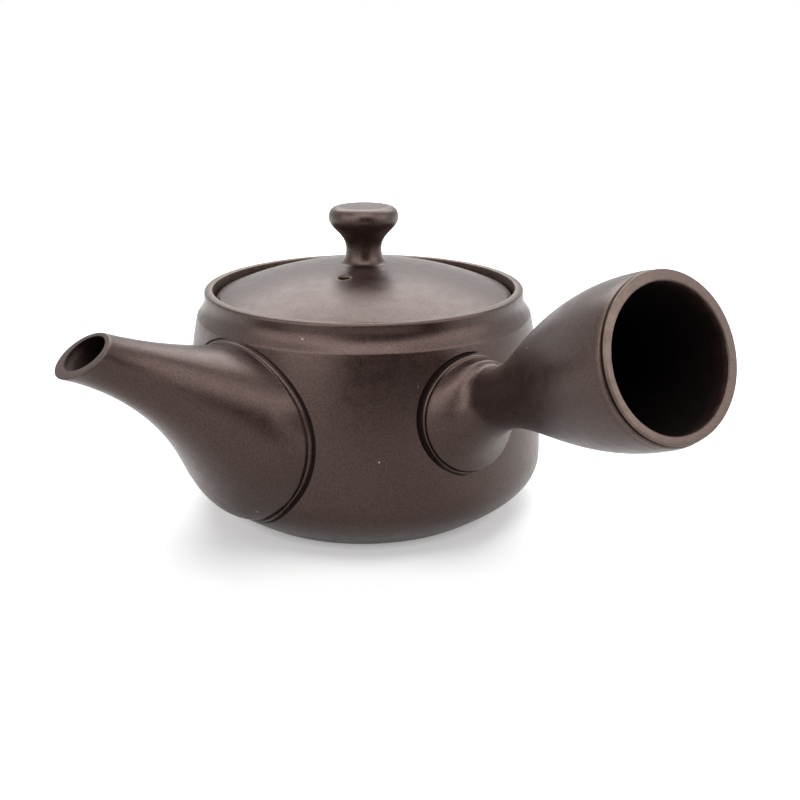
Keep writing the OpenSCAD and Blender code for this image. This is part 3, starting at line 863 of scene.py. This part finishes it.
def make_knob():
    """Turned knob with a waisted neck, a low crown and a toe drawn out on to the lid."""
    landing = float(dome_z(KNOB_BASE_R))
    top_z = KNOB_H - KNOB_TOP_RISE
    wide_z = top_z - KNOB_CROWN_H
    waist = (wide_z - KNOB_NECK_Z) / 2
    t = shares(KNOB_STEPS)
    toe = float(dome_z(KNOB_TOE_R)) - landing - KNOB_TOE_SUNK
    foot = bezier((KNOB_TOE_R, toe), (KNOB_NECK_R + KNOB_TOE_W, KNOB_TOE_H),
                  (KNOB_NECK_R, KNOB_NECK_Z * KNOB_NECK_PULL), (KNOB_NECK_R, KNOB_NECK_Z), t)
    flare = bezier((KNOB_NECK_R, KNOB_NECK_Z), (KNOB_NECK_R, KNOB_NECK_Z + waist),
                   (KNOB_R, wide_z - waist * KNOB_FLARE_PULL), (KNOB_R, wide_z), t)
    crown_in = (mix(KNOB_TOP_R, KNOB_R, KNOB_CROWN_IN), top_z - KNOB_TOP_RISE / 2)
    crown = bezier((KNOB_R, wide_z), (KNOB_R, wide_z + KNOB_CROWN_H * KNOB_CROWN_PULL), crown_in,
                   (KNOB_TOP_R, top_z), t)
    top = np.stack([KNOB_TOP_R * (1 - t), top_z + KNOB_TOP_RISE * t * (2 - t)], axis=1)
    profile = np.concatenate([[[0, toe]], foot, flare[1:], crown[1:], top[1:]])
    knob = lathe("lid_knob", profile + [0, landing], KNOB_SIDES)
    points = points_of(knob)
    radius = np.hypot(points[:, 0], points[:, 1])
    edge = np.hypot(radius - KNOB_TOP_R, points[:, 2] - landing - top_z)
    paint(knob, "wear_and_light", KNOB_WEAR * near(edge, KNOB_WEAR_W))
    paint(knob, "inside", np.zeros(len(points)))
    paint(knob, "turn", points[:, 2])
    return knob


class Tree:
    """Short calls for making a material's nodes."""

    MIX_INPUTS = ("in0", "in6", "in7")
    MIX_RESULT = 2

    def __init__(self, tree):
        self.tree = tree
        tree.nodes.clear()

    def node(self, kind, **values):
        """New node; values are sockets by name or by number, such as in0, or properties."""
        node = self.tree.nodes.new("ShaderNode" + kind)
        for name, value in values.items():
            self.put(node, name, value)
        return node

    def add(self, kind, out=0, **values):
        """New node's output socket."""
        return self.node(kind, **values).outputs[out]

    def put(self, node, name, value):
        """Sets a property of a node, or sets or links a socket."""
        if hasattr(node, name) and name.islower():
            setattr(node, name, value)
            return
        numbered = name.startswith("in") and name[2:].isdigit()
        socket = node.inputs[int(name[2:]) if numbered else name.replace("_", " ")]
        if isinstance(value, bpy.types.NodeSocket):
            self.tree.links.new(value, socket)
        else:
            socket.default_value = value

    def math(self, operation, a, b=0.0):
        """Result of a sum with two numbers."""
        return self.add("Math", operation=operation, in0=a, in1=b)

    def blend(self, share, a, b, kind="MIX"):
        """Mix of two colours."""
        node = self.node("Mix", data_type="RGBA", blend_type=kind)
        for name, value in zip(self.MIX_INPUTS, (share, a, b)):
            self.put(node, name, value)
        return node.outputs[self.MIX_RESULT]

    def span(self, value, low, high, to_low, to_high):
        """Value carried from one range to another, kept inside it."""
        return self.add("MapRange", in0=value, in1=low, in2=high, in3=to_low, in4=to_high)

    def noise(self, at, scale, detail=FINE_DETAIL):
        """Noise in space."""
        return self.add("TexNoise", Vector=at, Scale=scale, Detail=detail)

    def spread(self, noise, low, high):
        """Noise carried to a range."""
        return self.span(noise, NOISE_LOW, NOISE_HIGH, low, high)

    def stored(self, name):
        """Number that is stored at each point of the piece."""
        return self.add("Attribute", out="Fac", attribute_name=name)

    def end(self, kind, **shaders):
        """Output node of a material or a world."""
        self.node("Output" + kind, **shaders)


def new_material(name):
    """Empty material and its nodes."""
    material = bpy.data.materials.new(name)
    material.use_nodes = True
    return material, Tree(material.node_tree)


def clay_specks(tree, at):
    """1 on a few small round specks."""
    cells = tree.node("TexVoronoi", Scale=SPECK_SCALE, Vector=at)
    lucky = tree.math("GREATER_THAN", tree.add("SeparateColor", Color=cells.outputs["Color"]), SPECK_RARE)
    spot = tree.span(cells.outputs["Distance"], SPECK_CORE, SPECK_EDGE, 1.0, 0.0)
    return tree.math("MULTIPLY", lucky, spot)


def clay_colour(tree, at, mottle, grain, inside):
    """Clouded, mottled and grained brown, with specks, worn edges, painted light on one side of the handle's
    lip, and painted shade in grooves, bores, the vent and under the lid.
    """
    cloud = tree.noise(at, CLOUD_SCALE)
    colour = tree.blend(tree.span(cloud, CLOUD_LOW, CLOUD_HIGH, 0.0, 1.0), CLAY_DARK, CLAY_WARM)
    shade = tree.math("MULTIPLY", tree.spread(mottle, *MOTTLE_SHADE), tree.spread(grain, *GRAIN_SHADE))
    colour = tree.blend(1.0, colour, shade, "MULTIPLY")
    colour = tree.blend(clay_specks(tree, at), colour, CLAY_SPECK)
    # Paler wear on edges, with painted light on the handle lip's side towards the spout
    worn = tree.math("MULTIPLY", tree.stored("wear_and_light"), tree.spread(mottle, *MOTTLE_WEAR))
    colour = tree.blend(worn, colour, CLAY_WORN_AND_LIT)
    # Painted shade in the incised lines, the ridges' inner lines, the bores, the vent and under the lid
    return tree.blend(inside, colour, CLAY_PAINTED_SHADE)


def clay_relief(tree, mottle, grain):
    """Fine grain and turning marks as bumps."""
    marks = tree.add("TexNoise", noise_dimensions="1D", W=tree.stored("turn"), Scale=MARKS_SCALE,
                     Detail=FINE_DETAIL)
    height = tree.math("ADD", tree.math("MULTIPLY", grain, GRAIN_BUMP),
                       tree.math("MULTIPLY", marks, MARKS_BUMP))
    height = tree.math("ADD", height, tree.math("MULTIPLY", mottle, MOTTLE_BUMP))
    return tree.add("Bump", Strength=BUMP_STRENGTH, Distance=BUMP_DEPTH, Height=height)


def clay(name, rough=CLAY_ROUGH):
    """Unglazed burnished clay with a satin sheen."""
    material, tree = new_material(name)
    at = tree.add("TexCoord", out="Object")
    mottle = tree.noise(at, MOTTLE_SCALE)
    grain = tree.noise(at, GRAIN_SCALE, GRAIN_DETAIL)
    # Share of painted shade, which also makes the clay rougher and less glossy
    inside = tree.stored("inside")
    roughness = tree.math("ADD", tree.spread(mottle, rough - ROUGH_SWING, rough + ROUGH_SWING),
                          tree.math("MULTIPLY", inside, ROUGH_IN_PAINTED_SHADE))
    gloss = tree.math("MULTIPLY", tree.span(inside, 0.0, 1.0, GLOSS_OUTSIDE, GLOSS_IN_PAINTED_SHADE),
                      tree.spread(grain, *GRAIN_GLOSS))
    shader = tree.add("BsdfPrincipled", Base_Color=clay_colour(tree, at, mottle, grain, inside),
                      Roughness=roughness, Normal=clay_relief(tree, mottle, grain), IOR=CLAY_IOR,
                      Specular_IOR_Level=gloss, Specular_Tint=CLAY_SHEEN)
    tree.end("Material", Surface=shader)
    return material


def seen_rays(tree):
    """1 for rays from the camera, and 1 for these and for reflections and refractions of the background."""
    path = tree.node("LightPath")
    camera = path.outputs["Is Camera Ray"]
    some = tree.math("MAXIMUM", camera, path.outputs["Is Glossy Ray"])
    return camera, tree.math("MAXIMUM", some, path.outputs["Is Transmission Ray"])


def make_floor():
    """Pale floor that turns white away from the pot, and keeps its shadow."""
    corners = [(-1, -1, 0), (1, -1, 0), (1, 1, 0), (-1, 1, 0)]
    floor = new_piece("floor", np.array(corners) * FLOOR_HALF / MM, [(0, 1, 2, 3)])
    floor.location.z = -FLOOR_DROP
    material, tree = new_material("floor_white")
    camera, seen = seen_rays(tree)
    base = tree.add("BsdfDiffuse", Color=FLOOR_WHITE)
    away = tree.add("VectorMath", out="Value", operation="LENGTH", in0=tree.add("TexCoord", out="Object"))
    close = tree.span(away, FLOOR_GLOW_FROM, FLOOR_GLOW_TO, 0.0, FLOOR_GLOW)
    mirrored = tree.math("MULTIPLY", seen, FLOOR_MIRRORED)
    close = tree.math("MULTIPLY", close, tree.math("MAXIMUM", camera, mirrored))
    far = tree.span(away, FLOOR_FAR_FROM, FLOOR_FAR_TO, 0.0, FLOOR_FAR_GLOW)
    white = tree.span(away, FLOOR_WHITE_FROM, FLOOR_WHITE_TO, 0.0, 1.0)
    strength = tree.math("ADD", close, tree.math("MULTIPLY", seen, far))
    strength = tree.math("ADD", strength, tree.math("MULTIPLY", camera, white))
    glow = tree.add("Emission", Color=WHITE, Strength=strength)
    tree.end("Material", Surface=tree.add("AddShader", in0=base, in1=glow))
    floor.data.materials.append(material)


def make_world():
    """White surroundings, a little dimmer as a light than to the eye."""
    world = bpy.data.worlds.new("studio")
    bpy.context.scene.world = world
    world.use_nodes = True
    tree = Tree(world.node_tree)
    strength = tree.span(seen_rays(tree)[1], 0.0, 1.0, WORLD_LIGHT, 1.0)
    tree.end("World", Surface=tree.add("Background", Color=WHITE, Strength=strength))


def make_flag():
    """Flag, a dark screen behind the camera with its foot on the floor, which shades the pot's front."""
    ahead = Vector((CAMERA_LOOK.x, CAMERA_LOOK.y, 0)).normalized()
    right = Vector((ahead.y, -ahead.x, 0))
    rows = [(SCREEN_NEAR, SCREEN_FOOT), (SCREEN_FAR, SCREEN_FOOT), (SCREEN_FAR, SCREEN_TOP)]
    sides = (-SCREEN_LEFT, SCREEN_RIGHT)
    points = [(*(-back * ahead + side * right).xy, z) for back, z in rows for side in sides]
    flag = new_piece("screen", np.array(points) / MM, [(0, 1, 3, 2), (2, 3, 5, 4)])
    material, tree = new_material("screen_dark")
    tree.end("Material", Surface=tree.add("BsdfDiffuse", Color=SCREEN_DARK))
    flag.data.materials.append(material)
    flag.visible_camera = False


def make_light(name, at, width, height, power, full):
    """Area light that faces the pot; one that isn't full adds to its sheen alone."""
    data = bpy.data.lights.new(name, "AREA")
    data.shape, data.size, data.size_y, data.energy = "RECTANGLE", width, height, power
    light = bpy.data.objects.new(name, data)
    bpy.context.collection.objects.link(light)
    light.location = at
    light.rotation_euler = (LIGHT_AIM - light.location).to_track_quat("-Z", "Y").to_euler()
    light.visible_diffuse = full


def make_camera():
    """Camera at the photograph's place."""
    data = bpy.data.cameras.new("camera")
    data.lens, data.sensor_width = CAMERA_LENS, CAMERA_SENSOR
    data.clip_start, data.clip_end = CAMERA_NEAR, CAMERA_FAR
    camera = bpy.data.objects.new("camera", data)
    bpy.context.collection.objects.link(camera)
    camera.location = CAMERA_AT
    camera.rotation_euler = CAMERA_LOOK.to_track_quat("-Z", "Y").to_euler()
    bpy.context.scene.camera = camera


def dress(piece, body, node, material):
    """Finishes a piece that stands for a node and moves with a body."""
    piece.data.shade_smooth()
    piece.data.set_sharp_from_angle(angle=math.radians(SHARP_EDGE))
    piece.data.materials.clear()
    piece.data.materials.append(material)
    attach(piece, body)
    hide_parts(node)


make_camera()
make_world()
make_floor()
make_flag()
for light_values in LIGHTS:
    make_light(*light_values)

pot_clay = clay("clay_pot")
lid_clay = clay("clay_lid")
strainer_clay = clay("clay_strainer", STRAINER_ROUGH)

dress(make_body(), "pot", "body", pot_clay)
dress(make_spout(), "pot", "spout", pot_clay)
dress(make_handle(), "pot", "handle", pot_clay)
dress(make_lid(), "lid", "lid", lid_clay)
dress(make_knob(), "lid", "knob", lid_clay)

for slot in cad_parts["strainer"].material_slots:
    slot.material = strainer_clay

bpy.context.scene.view_settings.view_transform = "Standard"
